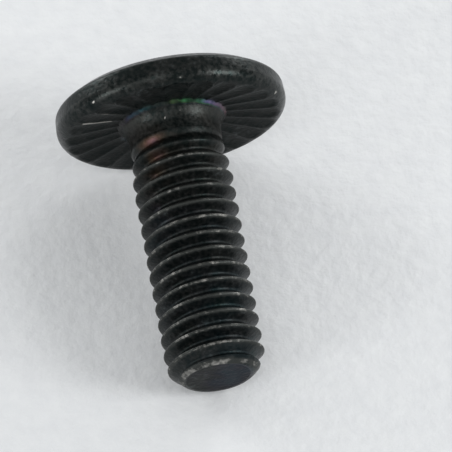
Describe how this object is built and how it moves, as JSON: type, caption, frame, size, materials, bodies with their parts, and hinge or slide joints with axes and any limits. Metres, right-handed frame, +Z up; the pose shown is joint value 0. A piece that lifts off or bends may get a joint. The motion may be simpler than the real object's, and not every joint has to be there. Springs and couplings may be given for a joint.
{
  "type": "machine screw",
  "caption": "Black button-head machine screw with a wide flange ribbed underneath, a hexagon socket and a short right-hand thread.",
  "frame": {"origin": "on the floor, under the middle of the screw as it lies at rest", "axes": "+Z up, tip towards -Y and down by 14 degrees, head towards +Y, +X across the flange"},
  "size_m": [0.0134, 0.0196, 0.0133],
  "materials": {
    "steel": "black oxide, oiled, satin, with bare edges on the thread crests and temper colours in the grooves"
  },
  "bodies": {
    "root": {"screw": "steel"}
  },
  "joints": []
}
